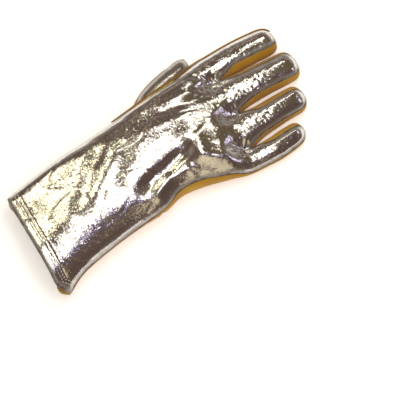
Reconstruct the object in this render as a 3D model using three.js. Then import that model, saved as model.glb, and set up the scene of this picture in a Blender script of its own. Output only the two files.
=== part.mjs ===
import * as THREE from "three";

// A right-hand gauntlet glove of aluminized fabric and leather, lying palm down. Millimetres.
// +Y runs to the fingertips, -X is the thumb side, +Z is the back of the hand, and the origin is on
// the resting surface under the wrist.

const WALL = 2.6; // fabric or leather with its lining
const HEM_WALL = 3.8; // the turned edge at the cuff
const HEM_DEPTH = 14;
const SEAM_GAP = 0.3;
const WELT_RADIUS = 1.2;
const WELT_LIFT = 1.6; // of its middle, over the seam
const WELT_SIDES = 6;

const CUFF_Y = -174;
const WRIST_Y = -32; // the seam between the gauntlet's palm side and the palm
const WEB_Y = 53; // where the thumb leaves the hand
const GAUNTLET_ROWS = 12;
const HEM_STEP = 3; // from the hem's end to the first row behind it
const HAND_ROWS = 9;
const KNUCKLE_ROWS = 5;

// How far the cuff's edge lies back: at its two corners, and along the shorter palm side.
const CUFF_CORNERS = [
  { from: 84, to: 98, depth: 9 },
  { from: -24, to: -32, depth: 2 },
];
const PALM_LIP = { leftFrom: -30, leftTo: 0, rightFrom: 92, rightTo: 60, depth: 8 };
const CUFF_CURVE_REACH = 70; // over this length the rows straighten again
const CUFF_EDGE_Z = 12; // lower points of the cuff are on its palm side

const TOP_ROUNDNESS = 2.3;
const PALM_ROUNDNESS = 2.3;
const PRESSED_FLAT = 2.5; // how far the round underside is pressed flat where it rests
const FOLD_FADE = 6; // how fast the folds fade in from the seams

const FINGER_COLUMNS = 4; // across the back of one finger, and across its front
const SIDE_COLUMNS = 3; // down the side of one finger
const THUMB_COLUMNS = 4; // from the thumb's outer seam to its inner edge, on the back and the front
const HAND_COLUMNS = 4 * FINGER_COLUMNS;

// One row per section of the gauntlet and hand: its left and right edge, the height of each edge and
// of the crown, how round the back's right half is (1 is a straight slope), and how far the right seam
// lies in from the edge on the back.
const BODY_SECTIONS = [
  { y: -174, left: -31, right: 97, leftZ: 22, rightZ: 19, crown: 45, rightBulge: 1.7, seamInset: 0 },
  { y: -155, left: -34.5, right: 90, leftZ: 22, rightZ: 19, crown: 46, rightBulge: 1.7, seamInset: 0 },
  { y: -136, left: -38, right: 82.5, leftZ: 22, rightZ: 20, crown: 47, rightBulge: 1.7, seamInset: 0 },
  { y: -101, left: -43, right: 75, leftZ: 23, rightZ: 20, crown: 47, rightBulge: 1.7, seamInset: 0 },
  { y: -63, left: -46, right: 69, leftZ: 24, rightZ: 20, crown: 46, rightBulge: 1.75, seamInset: 0 },
  { y: -26, left: -49.5, right: 65.5, leftZ: 27, rightZ: 20, crown: 45, rightBulge: 2, seamInset: 1 },
  { y: -6, left: -52, right: 59.5, leftZ: 30, rightZ: 18, crown: 44, rightBulge: 2.3, seamInset: 3 },
  { y: 19, left: -54.5, right: 61, leftZ: 33, rightZ: 17, crown: 43, rightBulge: 2.3, seamInset: 4.5 },
  { y: 45, left: -57, right: 66.5, leftZ: 33, rightZ: 16, crown: 42, rightBulge: 2.3, seamInset: 3 },
  { y: 60, left: -59, right: 69.5, leftZ: 31, rightZ: 15, crown: 40, rightBulge: 2.3, seamInset: 2 },
  { y: 74, left: -62.3, right: 71.5, leftZ: 27, rightZ: 14, crown: 37, rightBulge: 2.3, seamInset: 1 },
  { y: 98, left: -68, right: 73.5, leftZ: 18, rightZ: 13, crown: 32, rightBulge: 2.3, seamInset: 0 },
];

// One row per section of the thumb: its middle, its half width and half height.
const THUMB_SECTIONS = [
  { y: -32, x: -36, halfWidth: 13, halfHeight: 12 },
  { y: -6, x: -42.5, halfWidth: 13.5, halfHeight: 13 },
  { y: 10, x: -52, halfWidth: 13.5, halfHeight: 13 },
  { y: 32, x: -61.2, halfWidth: 13.3, halfHeight: 12.8 },
  { y: 53, x: -66.2, halfWidth: 13, halfHeight: 12.5 },
  { y: 66, x: -69.5, halfWidth: 12.4, halfHeight: 11.5 },
  { y: 78, x: -73.5, halfWidth: 11, halfHeight: 10 },
];
const THUMB_TIP_Y = 78;
const THUMB_OUTER_SEAM = 195; // degrees round the thumb from its inner side, over the back
const THUMB_INNER_SEAM = 50;
const THUMB_PALM_SEAM = -70;
const THUMB_PALM_REACH = 16; // the thumb's front meets the palm this far in from the thumb's middle
const WEB_TOP_FACING = new THREE.Vector3(0.3, 0.8, 0.5); // out of the fold between thumb and hand
const THUMB_MERGE_Y = 12; // from here on the thumb stands out of the hand's own outline
const THUMB_FLOOR_POWER = 4; // how close to the thumb the palm comes down to the resting surface
const THUMB_BLEND = 12; // the stretch over which the web turns into the thumb's round side
const THUMB_STEPS = 3;
const WEB_HOLLOW = 2; // how far the web's middle lies back
const WEB_BLEND = 9; // the stretch over which the web turns into the hand's side
const UNDERSIDE_REACH = 12; // how far in the hand's side turns down beside the thumb
const KNUCKLE_BLEND_START = 0.1; // share of the way from the web to the crotches

// The three gaps between the fingers, with the height of the leather wall at each crotch.
const CROTCHES = [
  { between: "index_middle", x: -37, y: 97, top: 21, bottom: 5 },
  { between: "middle_ring", x: 6, y: 96.5, top: 21, bottom: 5 },
  { between: "ring_little", x: 47, y: 88.5, top: 19, bottom: 5 },
];

// One row per section of each finger. The seams are in degrees round the finger, where 0 is the
// right side and 90 is the back.
const FINGERS = [
  {
    name: "index", leftSeam: 178, rightSeam: 54, tipY: 175.5,
    sections: [
      { y: 97, left: -68.2, right: -37, height: 29 },
      { y: 116, left: -69.3, right: -37.6, height: 29 },
      { y: 136, left: -69.6, right: -37.2, height: 28 },
      { y: 176, left: -68, right: -37.4, height: 23 },
    ],
  },
  {
    name: "middle", leftSeam: 138, rightSeam: 36, tipY: 182.5,
    sections: [
      { y: 97, left: -37, right: 6, height: 31 },
      { y: 112, left: -36.2, right: 3.4, height: 30 },
      { y: 140, left: -35, right: 1.6, height: 29 },
      { y: 183, left: -34.4, right: 1.6, height: 24 },
    ],
  },
  {
    name: "ring", leftSeam: 124, rightSeam: 24, tipY: 171,
    sections: [
      { y: 93, left: 6, right: 47, height: 30 },
      { y: 114, left: 7.2, right: 42, height: 29 },
      { y: 140, left: 6.2, right: 38.6, height: 27 },
      { y: 172, left: 5, right: 36.4, height: 23 },
    ],
  },
  {
    name: "little", leftSeam: 118, rightSeam: 6, tipY: 151.5,
    sections: [
      { y: 88, left: 47, right: 73, height: 26 },
      { y: 112, left: 46.2, right: 73.4, height: 26 },
      { y: 130, left: 43.8, right: 71, height: 24 },
      { y: 152, left: 42.4, right: 66.6, height: 21 },
    ],
  },
];
const FINGER_PRESSED = 1.2;
const CROTCH_SEAM = 30; // degrees, where the seams start on both sides of a crotch
const PALM_SEAM = 45; // degrees under the side, where the side strips meet the front
const TIP_LENGTH = 15; // the stretch over which a fingertip rounds off
const TIP_ROUNDNESS = 2.5;
const TIP_STATIONS = [1, 0.62, 0.32, 0.1]; // shares of the tip length that are left
const TIP_FLATTENING = 1.1; // how much faster the tip gets lower than it gets narrower
const TIP_DROP = 2.5;
const TIP_MIDDLE_SHARE = 0.3; // how far the closing rows follow the tip's two sides
const FINGER_STEPS = 7;
const SEAM_OPENING = 28; // from the crotch to where the seams reach their own angle
const CROTCH_BLEND = 14; // from the crotch to where a finger is round

// Folds of the back: a line from one point to another, its half width, and how deep it sinks.
const FOLDS = [
  { name: "wrist_pinch", x1: 21, y1: 22, x2: 37, y2: -36, width: 7, depth: 4.5 },
  { name: "wrist_bulge", x1: 44, y1: 8, x2: 48, y2: -22, width: 9, depth: -1.5 },
  { name: "side_ridge", x1: 26, y1: 30, x2: 52, y2: 62, width: 9, depth: -2.5 },
  { name: "gauntlet_dent", x1: -24, y1: -62, x2: 24, y2: -114, width: 8, depth: 1.4 },
  { name: "gauntlet_crease", x1: -6, y1: -40, x2: 22, y2: -72, width: 8, depth: 1 },
  { name: "knuckle_crease", x1: -41, y1: 93, x2: -56, y2: 84, width: 6, depth: 2.5 },
  { name: "hand_hollow", x1: -20, y1: 60, x2: 24, y2: 52, width: 14, depth: 2.5 },
];

// The gauntlet's thumb side is pressed into one flat facet: a point of its plane, how fast the plane
// rises with x and with y, and over what height it blends into the round back.
const CUFF_FACET = { x: 28, y: -116, z: 46.5, riseX: 0.176, riseY: 0.087, blend: 1.2 };

const FOIL = { color: 0xa8a29a, roughness: 0.3, metalness: 1 };
const LEATHER = { color: 0xb5851f, roughness: 0.85, metalness: 0 };

const ARC_SAMPLES = 48;
const THUMB_ARC_STEP = 5; // degrees
const POINT_GRID = 50; // points that agree to a fiftieth of a millimetre are one
const LEAST_SPREAD = 0.5; // keeps the seam gap short where two edges meet at a sharp corner

const radians = THREE.MathUtils.degToRad;
const { lerp, smoothstep } = THREE.MathUtils;
const steps = (from, to, count) => Array.from({ length: count + 1 }, (_, i) => lerp(from, to, i / count));

// Every column of a table at y, on a smooth curve through its rows.
function rowAt(table, y) {
  const last = table.length - 1;
  const inside = Math.min(Math.max(y, table[0].y), table[last].y);
  const at = Math.max(1, table.findIndex((row) => row.y >= inside));
  const [before, after] = [table[at - 1], table[at]];
  const span = after.y - before.y;
  const share = (inside - before.y) / span;
  const slope = (i, key) => {
    const [low, high] = [table[Math.max(i - 1, 0)], table[Math.min(i + 1, last)]];
    return (high[key] - low[key]) / (high.y - low.y);
  };
  const row = { y: inside };
  for (const key of Object.keys(before).filter((name) => name !== "y")) {
    const [a, b] = [before[key], after[key]];
    const [da, db] = [slope(at - 1, key) * span, slope(at, key) * span];
    row[key] =
      a + share * da + share ** 2 * (3 * (b - a) - 2 * da - db) +
      share ** 3 * (2 * (a - b) + da + db);
  }
  return row;
}

// A line of points with `count` equal steps along the same path.
function evenSteps(path, count) {
  const lengths = [0];
  path.slice(1).forEach((p, i) => lengths.push(lengths[i] + p.distanceTo(path[i])));
  const total = lengths[lengths.length - 1];
  return Array.from({ length: count + 1 }, (_, step) => {
    const wanted = (total * step) / count;
    const at = Math.min(Math.max(1, lengths.findIndex((l) => l >= wanted - 1e-9)), path.length - 1);
    const share = (wanted - lengths[at - 1]) / (lengths[at] - lengths[at - 1] || 1);
    return path[at - 1].clone().lerp(path[at], share);
  });
}

// Equal steps along the curve pointAt(degrees), from one angle to another.
function evenArc(pointAt, from, to, count) {
  const angles = steps(from, to, ARC_SAMPLES);
  return evenSteps(angles.map(pointAt), count);
}

const superCos = (degrees, power) => {
  const c = Math.cos(radians(degrees));
  return Math.sign(c) * Math.abs(c) ** power;
};
const superSin = (degrees, power) => {
  const s = Math.sin(radians(degrees));
  return Math.sign(s) * Math.abs(s) ** power;
};

function segmentDistance(fold, x, y) {
  const [dx, dy] = [fold.x2 - fold.x1, fold.y2 - fold.y1];
  const share = THREE.MathUtils.clamp(
    ((x - fold.x1) * dx + (y - fold.y1) * dy) / (dx * dx + dy * dy), 0, 1);
  return Math.hypot(x - fold.x1 - share * dx, y - fold.y1 - share * dy);
}

function foldDepth(x, y) {
  return FOLDS.reduce(
    (sum, fold) => sum + fold.depth * Math.exp(-((segmentDistance(fold, x, y) / fold.width) ** 2)), 0);
}

// How far the facet lies below a point of the round back.
function facetDepth(x, y, z) {
  const { riseX, riseY, blend } = CUFF_FACET;
  const plane = CUFF_FACET.z + (x - CUFF_FACET.x) * riseX + (y - CUFF_FACET.y) * riseY;
  return blend * Math.log1p(Math.exp((z - plane) / blend));
}

// A point of the hand's or gauntlet's section at y, round from its right edge over the back.
function bodyPoint(section, y, degrees) {
  const middle = (section.left + section.right) / 2;
  const half = (section.right - section.left) / 2;
  const topRoundness = Math.cos(radians(degrees)) > 0 ? section.rightBulge : TOP_ROUNDNESS;
  const power = 2 / (Math.sin(radians(degrees)) >= 0 ? topRoundness : PALM_ROUNDNESS);
  const x = middle + half * superCos(degrees, power);
  const edge = lerp(section.leftZ, section.rightZ, (x - section.left) / (section.right - section.left));
  const rise = superSin(degrees, power);
  const z = edge + rise * (rise >= 0 ? section.crown - edge : edge + PRESSED_FLAT);
  return new THREE.Vector3(x, y, Math.max(z, 0));
}

// The angle at which the section's curve is `inset` in from its edge.
function angleAtInset(section, inset, roundness) {
  const half = (section.right - section.left) / 2;
  return THREE.MathUtils.radToDeg(Math.acos((1 - Math.max(inset, 0) / half) ** (roundness / 2)));
}

function thumbPoint(section, y, degrees) {
  const z = section.halfHeight * (1 + Math.sin(radians(degrees))) - FINGER_PRESSED;
  return new THREE.Vector3(section.x + section.halfWidth * Math.cos(radians(degrees)), y, Math.max(z, 0));
}

// The section of the hand or gauntlet at y, as four runs of points that follow each other: over the
// back, round the right side, across the palm side, and round the left side with the thumb.
function bodyRuns(y, leftColumns) {
  const section = rowAt(BODY_SECTIONS, y);
  const thumb = rowAt(THUMB_SECTIONS, y);
  const around = (degrees) => bodyPoint(section, y, degrees);
  const rightSeam = angleAtInset(section, section.seamInset, section.rightBulge);
  const palmX = thumb.x + THUMB_PALM_REACH;
  const palmEnd = angleAtInset(section, palmX - section.left, PALM_ROUNDNESS) - 180;
  const thumbShare = smoothstep(y, WRIST_Y, THUMB_MERGE_Y);

  const back = evenArc(around, 180, rightSeam, HAND_COLUMNS);
  back.forEach((p, i) => {
    const across = i / HAND_COLUMNS;
    const depth = foldDepth(p.x, y) + facetDepth(p.x, y, p.z);
    p.z -= depth * Math.min(1, FOLD_FADE * across * (1 - across));
  });
  const right = evenArc(around, rightSeam, -PALM_SEAM, SIDE_COLUMNS);
  const palm = evenArc(around, -PALM_SEAM, palmEnd, HAND_COLUMNS);
  palm.forEach((p, i) => {
    p.z *= 1 - thumbShare * (i / HAND_COLUMNS) ** THUMB_FLOOR_POWER;
  });
  const left = evenArc(around, palmEnd, -180, leftColumns);
  left[0].copy(palm[HAND_COLUMNS]);
  return { back, right, palm, left, thumb, thumbShare };
}

// The run from the palm round the thumb to the hand's left edge, where the thumb is still one hollow
// with the hand.
function thumbSideRun(runs, y) {
  const { left, palm, thumb, thumbShare } = runs;
  const around = (degrees) => thumbPoint(thumb, y, degrees);
  const turn = THUMB_PALM_SEAM - (THUMB_OUTER_SEAM - 360);
  const angles = steps(THUMB_PALM_SEAM, THUMB_OUTER_SEAM - 360, turn / THUMB_ARC_STEP);
  const front = evenSteps([palm[HAND_COLUMNS], ...angles.map(around)], THUMB_COLUMNS);
  const backOfThumb = evenArc(around, THUMB_OUTER_SEAM, THUMB_INNER_SEAM, THUMB_COLUMNS);
  const standing = [...front, ...backOfThumb.slice(1), left[left.length - 1]];
  return left.map((p, i) => p.clone().lerp(standing[i], thumbShare));
}

// A finger's section at a share of the way from its base to the start of its tip row.
function fingerPoint(section, shrink, y, degrees) {
  const power = 2 / TOP_ROUNDNESS;
  const middle = (section.left + section.right) / 2;
  const half = ((section.right - section.left) / 2) * shrink.width;
  const halfHeight = (section.height / 2) * shrink.height;
  const z = section.height / 2 - FINGER_PRESSED + halfHeight * superSin(degrees, power) - shrink.drop;
  return new THREE.Vector3(middle + half * superCos(degrees, power), y, Math.max(z, 0));
}

// How much a section shrinks at this distance from the tip.
function tipShrink(distance) {
  const left = 1 - Math.min(1, Math.max(distance, 0) / TIP_LENGTH);
  const width = (1 - left ** TIP_ROUNDNESS) ** (1 / TIP_ROUNDNESS);
  return { width, height: width ** TIP_FLATTENING, drop: TIP_DROP * (1 - width) };
}

// The stations of a tube from its base to its tip, each with y at the middle and a share of the way.
function tubeStations(baseY, tipY, steps) {
  const shoulder = tipY - TIP_LENGTH;
  const straight = Array.from({ length: steps }, (_, i) => lerp(baseY, shoulder, i / steps));
  const ys = [...straight, ...TIP_STATIONS.map((share) => tipY - TIP_LENGTH * share)];
  const last = ys[ys.length - 1];
  return ys.map((y) => ({ y, share: (y - baseY) / (last - baseY) }));
}

// The four runs of a finger at one station, in the same order as the hand's.
function fingerRuns(index, station) {
  const finger = FINGERS[index];
  const [leftGap, rightGap] = [CROTCHES[index - 1], CROTCHES[index]];
  const leftBase = (leftGap ?? rightGap).y;
  const rightBase = (rightGap ?? leftGap).y;
  const lastY = finger.tipY - TIP_LENGTH * TIP_STATIONS[TIP_STATIONS.length - 1];
  const section = rowAt(finger.sections, station.y);
  const shrink = tipShrink(finger.tipY - station.y);
  const around = (degrees) => fingerPoint(section, shrink, station.y, degrees);
  const fromBase = station.share * (lastY - (leftBase + rightBase) / 2);
  const opening = smoothstep(fromBase, 0, SEAM_OPENING);
  const clear = smoothstep(fromBase, 0, CROTCH_BLEND);
  const leftSeam = leftGap ? lerp(180 - CROTCH_SEAM, finger.leftSeam, opening) : finger.leftSeam;
  const rightSeam = rightGap ? lerp(CROTCH_SEAM, finger.rightSeam, opening) : finger.rightSeam;

  const runs = {
    back: evenArc(around, leftSeam, rightSeam, FINGER_COLUMNS),
    right: evenArc(around, rightSeam, -PALM_SEAM, SIDE_COLUMNS),
    palm: evenArc(around, -PALM_SEAM, PALM_SEAM - 180, FINGER_COLUMNS),
    left: evenArc(around, PALM_SEAM - 180, leftSeam - 360, SIDE_COLUMNS),
  };
  const snap = (point, gap, drop) =>
    point.lerp(new THREE.Vector3(gap.x, point.y, lerp(gap.top, gap.bottom, drop)), 1 - clear);
  if (rightGap) runs.right.forEach((p, i) => snap(p, rightGap, i / SIDE_COLUMNS));
  if (leftGap) runs.left.forEach((p, i) => snap(p, leftGap, 1 - i / SIDE_COLUMNS));
  runs.back[0].copy(runs.left[SIDE_COLUMNS]);
  runs.back[FINGER_COLUMNS].copy(runs.right[0]);
  runs.palm[0].copy(runs.right[SIDE_COLUMNS]);
  runs.palm[FINGER_COLUMNS].copy(runs.left[0]);
  const place = (point, across) => {
    point.y = lerp(lerp(leftBase, rightBase, across), lastY, station.share);
  };
  runs.back.forEach((p, i) => place(p, i / FINGER_COLUMNS));
  runs.palm.forEach((p, i) => place(p, 1 - i / FINGER_COLUMNS));
  runs.right.forEach((p) => place(p, 1));
  runs.left.forEach((p) => place(p, 0));
  return runs;
}

// The glove's whole outer face, as shared points and the faces of each panel.
class OuterFace {
  points = [];
  fixedNormals = new Map();
  panels = new Map();
  #seen = new Map();

  at(point) {
    const key = point.toArray().map((v) => Math.round(v * POINT_GRID)).join(",");
    if (!this.#seen.has(key)) {
      this.#seen.set(key, this.points.length);
      this.points.push(point.clone());
    }
    return this.#seen.get(key);
  }

  // Adds the faces between rows of points, which run to the fingertips and round the glove.
  grid(panel, rows) {
    if (!this.panels.has(panel)) this.panels.set(panel, []);
    const faces = this.panels.get(panel);
    const indexed = rows.map((row) => row.map((p) => this.at(p)));
    for (let r = 0; r + 1 < indexed.length; r++)
      for (let c = 0; c + 1 < indexed[r].length; c++) {
        const face = [indexed[r][c], indexed[r][c + 1], indexed[r + 1][c + 1], indexed[r + 1][c]];
        const corners = face.filter((v, i) => face.indexOf(v) === i);
        if (corners.length > 2) faces.push(corners);
      }
  }

  // A face's normal, as long as its size. A triangle at a tip counts double.
  faceNormal(face) {
    const [a, b, c, d] = face.map((v) => this.points[v]);
    if (d) return c.clone().sub(a).cross(d.clone().sub(b));
    return b.clone().sub(a).cross(c.clone().sub(a)).multiplyScalar(2);
  }

  normals() {
    const sums = this.points.map(() => new THREE.Vector3());
    for (const faces of this.panels.values())
      for (const face of faces) {
        const normal = this.faceNormal(face);
        face.forEach((v) => sums[v].add(normal));
      }
    this.fixedNormals.forEach((normal, v) => sums[v].copy(normal));
    return sums.map((n) => n.normalize());
  }
}

// Directed edges of a panel that no other face of it shares.
function openEdges(faces) {
  const edges = new Map();
  for (const face of faces)
    face.forEach((a, i) => {
      const b = face[(i + 1) % face.length];
      if (!edges.delete(`${b},${a}`)) edges.set(`${a},${b}`, [a, b]);
    });
  return [...edges.values()];
}

// A panel of the outer face as a closed sheet: moved in from its seams by half the gap, then given
// its thickness towards the inside.
function sheetGeometry(outer, normals, faces) {
  const edges = openEdges(faces);
  const inward = new Map();
  for (const [a, b] of edges) {
    const along = outer.points[b].clone().sub(outer.points[a]).normalize();
    for (const v of [a, b]) {
      const side = new THREE.Vector3().crossVectors(normals[v], along).normalize();
      inward.set(v, [...(inward.get(v) ?? []), side]);
    }
  }
  const places = [];
  const slots = new Map();
  const used = [...new Set(faces.flat())];
  for (const v of used) {
    const top = outer.points[v].clone();
    const sides = inward.get(v);
    if (sides) {
      const sum = sides.reduce((total, side) => total.add(side), new THREE.Vector3());
      const half = sum.length() / sides.length;
      top.addScaledVector(sum.normalize(), SEAM_GAP / 2 / Math.max(half, LEAST_SPREAD));
      if (outer.points[v].z === 0) top.z = 0;
    }
    const wall = outer.points[v].y < hemEnd(outer.points[v]) ? HEM_WALL : WALL;
    slots.set(v, places.length);
    places.push(top, top.clone().addScaledVector(normals[v], -wall));
  }
  const triangles = [];
  const triangulate = (corners) => {
    if (corners.length === 3) return [corners];
    const [a, b, c, d] = corners;
    const along = (p, q) => places[slots.get(p)].distanceTo(places[slots.get(q)]);
    return along(a, c) <= along(b, d) ? [[a, b, c], [a, c, d]] : [[b, c, d], [b, d, a]];
  };
  for (const [a, b, c] of faces.flatMap(triangulate)) {
    const [p, q, r] = [slots.get(a), slots.get(b), slots.get(c)];
    triangles.push([p, q, r], [r + 1, q + 1, p + 1]);
  }
  for (const [a, b] of edges) {
    const [p, q] = [slots.get(a), slots.get(b)];
    // Both sheets at a seam split their twisted rims along the same diagonal.
    if (b < a) triangles.push([q, p, p + 1], [q, p + 1, q + 1]);
    else triangles.push([q, p, q + 1], [p, p + 1, q + 1]);
  }
  return closedGeometry(places, triangles);
}

function closedGeometry(places, triangles) {
  return new THREE.BufferGeometry().setFromPoints(places).setIndex(triangles.flat());
}

// From 0 at one value to 1 at the other, whichever is the larger.
const ramp = (x, from, to) => (from < to ? smoothstep(x, from, to) : 1 - smoothstep(x, to, from));

// How far back the cuff's edge lies at x, on the back or on the palm side.
function cuffSetback(x, onPalm) {
  const corners = CUFF_CORNERS.reduce((sum, { from, to, depth }) => sum + depth * ramp(x, from, to), 0);
  if (!onPalm) return corners;
  const { leftFrom, leftTo, rightFrom, rightTo, depth } = PALM_LIP;
  return corners + depth * ramp(x, leftFrom, leftTo) * ramp(x, rightFrom, rightTo);
}

const hemEnd = (p) => CUFF_Y + HEM_DEPTH + HEM_STEP / 2 + cuffSetback(p.x, p.z < CUFF_EDGE_Z);

// A round piping on the seam through these points of the outer face.
function weltGeometry(outer, normals, line) {
  const centres = line.map((v) => outer.points[v].clone().addScaledVector(normals[v], WELT_LIFT));
  const places = [];
  const triangles = [];
  centres.forEach((centre, i) => {
    const along = centres[Math.min(i + 1, centres.length - 1)].clone()
      .sub(centres[Math.max(i - 1, 0)]).normalize();
    const side = new THREE.Vector3().crossVectors(along, normals[line[i]]).normalize();
    const up = new THREE.Vector3().crossVectors(side, along);
    for (let k = 0; k < WELT_SIDES; k++) {
      const turn = (2 * Math.PI * (k + 0.5)) / WELT_SIDES;
      places.push(centre.clone().addScaledVector(side, WELT_RADIUS * Math.cos(turn))
        .addScaledVector(up, WELT_RADIUS * Math.sin(turn)));
    }
  });
  const ring = (i, k) => i * WELT_SIDES + (k % WELT_SIDES);
  for (let i = 0; i + 1 < centres.length; i++)
    for (let k = 0; k < WELT_SIDES; k++)
      triangles.push([ring(i, k), ring(i + 1, k + 1), ring(i, k + 1)],
        [ring(i, k), ring(i + 1, k), ring(i + 1, k + 1)]);
  for (let k = 1; k + 1 < WELT_SIDES; k++)
    triangles.push([ring(0, 0), ring(0, k), ring(0, k + 1)],
      [ring(centres.length - 1, 0), ring(centres.length - 1, k + 1), ring(centres.length - 1, k)]);
  return closedGeometry(places, triangles);
}

// The gauntlet, from the cuff's hem to the wrist.
function buildGauntlet(outer) {
  const hemTop = CUFF_Y + HEM_DEPTH;
  const plainRows = steps(hemTop + HEM_STEP, WRIST_Y, GAUNTLET_ROWS);
  const ys = [CUFF_Y, CUFF_Y + HEM_DEPTH / 2, hemTop, ...plainRows];
  const rows = ys.map((y) => {
    const runs = bodyRuns(y, 2 * THUMB_COLUMNS + 1);
    const near = 1 - smoothstep(y, CUFF_Y, CUFF_Y + CUFF_CURVE_REACH);
    runs.back.forEach((p) => { p.y += near * cuffSetback(p.x, false); });
    for (const run of [runs.right, runs.palm, runs.left])
      run.forEach((p) => { p.y += near * cuffSetback(p.x, true); });
    runs.right[0].copy(runs.back[HAND_COLUMNS]);
    runs.left[runs.left.length - 1].copy(runs.back[0]);
    return runs;
  });
  outer.grid("back_panel", rows.map((r) => r.back));
  outer.grid("gauntlet_palm", rows.map((r) => [...r.right, ...r.palm.slice(1), ...r.left.slice(1)]));
  return rows[0];
}

// The hand from the wrist to where the thumb leaves it.
function buildThumbSide(outer) {
  const rows = steps(WRIST_Y, WEB_Y, HAND_ROWS).map((y) => {
    const runs = bodyRuns(y, 2 * THUMB_COLUMNS + 1);
    return { ...runs, side: thumbSideRun(runs, y) };
  });
  outer.grid("back_panel", rows.map((r) => r.back));
  outer.grid("palm_panel", rows.map((r) => [...r.right, ...r.palm.slice(1)]));
  outer.grid("thumb_front", rows.map((r) => r.side.slice(0, THUMB_COLUMNS + 1)));
  outer.grid("thumb_wing", rows.map((r) => r.side.slice(THUMB_COLUMNS)));
  return rows;
}

// The web between thumb and hand: a line of three points from the palm up to the back of the thumb.
function webLine(lastRow) {
  const low = lastRow.side[0];
  const high = lastRow.side[2 * THUMB_COLUMNS];
  const middle = low.clone().lerp(high, 0.5);
  middle.y -= WEB_HOLLOW;
  return [low, middle, high];
}

// The thumb beyond the web, as a tube of its own with a rounded tip.
function buildThumb(outer, lastRow, web) {
  const stations = tubeStations(WEB_Y, THUMB_TIP_Y, THUMB_STEPS);
  const rows = stations.map(({ y }) => {
    const section = rowAt(THUMB_SECTIONS, y);
    const shrink = tipShrink(THUMB_TIP_Y - y);
    const small = { ...section, halfWidth: section.halfWidth * shrink.width };
    const around = (degrees) => {
      const p = thumbPoint(small, y, degrees);
      const middle = section.halfHeight - FINGER_PRESSED;
      return p.setZ(Math.max(0, lerp(middle - shrink.drop, p.z - shrink.drop, shrink.height)));
    };
    const clear = smoothstep(y, WEB_Y, WEB_Y + THUMB_BLEND);
    const back = evenArc(around, THUMB_OUTER_SEAM, THUMB_INNER_SEAM, THUMB_COLUMNS);
    const inner = evenArc(around, THUMB_INNER_SEAM, THUMB_PALM_SEAM, 2);
    const front = evenArc(around, THUMB_PALM_SEAM, THUMB_OUTER_SEAM - 360, THUMB_COLUMNS);
    const snap = (p, target) => p.lerp(new THREE.Vector3(target.x, p.y, target.z), 1 - clear);
    inner.forEach((p, i) => snap(p, web[2 - i]));
    front.forEach((p, i) => snap(p, lastRow.side[i]));
    back[THUMB_COLUMNS].copy(inner[0]);
    front[0].copy(inner[2]);
    back[0].copy(front[THUMB_COLUMNS]);
    return { back, inner, front };
  });
  rows[0] = {
    back: lastRow.side.slice(THUMB_COLUMNS, 2 * THUMB_COLUMNS + 1),
    inner: [...web].reverse(),
    front: lastRow.side.slice(0, THUMB_COLUMNS + 1),
  };
  outer.grid("thumb_wing", rows.map((r) => r.back));
  outer.grid("thumb_front", rows.map((r) => [...r.inner, ...r.front.slice(1)]));
  const { back, inner, front } = rows[rows.length - 1];
  const closing = closeTip(back, [inner[1]], [...front].reverse(), [back[0]], THUMB_TIP_Y);
  outer.grid("thumb_wing", closing.slice(0, 2));
  outer.grid("thumb_front", closing.slice(1));
  return rows.map((r) => r.back[0]);
}

// The rows that close a tube's tip, from its back row to its front row.
function closeTip(backRow, rightMiddles, frontRow, leftMiddles, tipY) {
  const count = rightMiddles.length + 1;
  const rows = rightMiddles.map((right, j) => {
    const drop = (j + 1) / count;
    const left = leftMiddles[j];
    return backRow.map((p, i) => {
      const across = i / (backRow.length - 1);
      if (i === 0) return left.clone();
      if (i === backRow.length - 1) return right.clone();
      const high = p.clone().lerp(frontRow[i], drop);
      return high.lerp(left.clone().lerp(right, across), TIP_MIDDLE_SHARE).setY(tipY);
    });
  });
  return [backRow, ...rows, frontRow];
}

// The hand from the web to the finger crotches, where its section turns into four fingers'.
function buildKnuckles(outer, lastRow, web, fingerBases) {
  const [indexBase, , , littleBase] = fingerBases;
  const base = {
    back: fingerBases.flatMap((f, i) => (i ? f.back.slice(1) : f.back)),
    right: littleBase.right,
    palm: [...fingerBases].reverse().flatMap((f, i) => (i ? f.palm.slice(1) : f.palm)),
    left: indexBase.left,
  };
  const rows = steps(0, 1, KNUCKLE_ROWS).map((share) => {
    const y = lerp(WEB_Y, CROTCHES[0].y, share);
    const runs = bodyRuns(y, SIDE_COLUMNS);
    const edge = runs.back[0];
    const underside = new THREE.QuadraticBezierCurve3(
      runs.palm[HAND_COLUMNS],
      new THREE.Vector3(edge.x + UNDERSIDE_REACH, y, edge.z / 2),
      edge);
    const freed = smoothstep(y, WEB_Y, WEB_Y + WEB_BLEND);
    const left = evenSteps(underside.getPoints(ARC_SAMPLES), SIDE_COLUMNS);
    left.slice(0, SIDE_COLUMNS).forEach((p, i) => {
      p.lerp(new THREE.Vector3(web[i].x, y, web[i].z), 1 - freed);
    });
    const blend = smoothstep(share, KNUCKLE_BLEND_START, 1);
    const merged = {};
    for (const name of ["back", "right", "palm", "left"])
      merged[name] = (name === "left" ? left : runs[name]).map((p, i) => {
        const target = base[name][i];
        return new THREE.Vector3(
          lerp(p.x, target.x, blend), lerp(WEB_Y, target.y, share), lerp(p.z, target.z, blend));
      });
    return merged;
  });
  rows[0] = {
    back: lastRow.back,
    right: lastRow.right,
    palm: lastRow.palm,
    left: [...web, lastRow.side[2 * THUMB_COLUMNS + 1]],
  };
  rows[rows.length - 1] = base;
  outer.grid("back_panel", rows.map((r) => r.back));
  outer.grid("palm_panel", rows.map((r) => [...r.right, ...r.palm.slice(1), ...r.left.slice(1)]));
  return rows.map((r) => r.back[0]);
}

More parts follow.
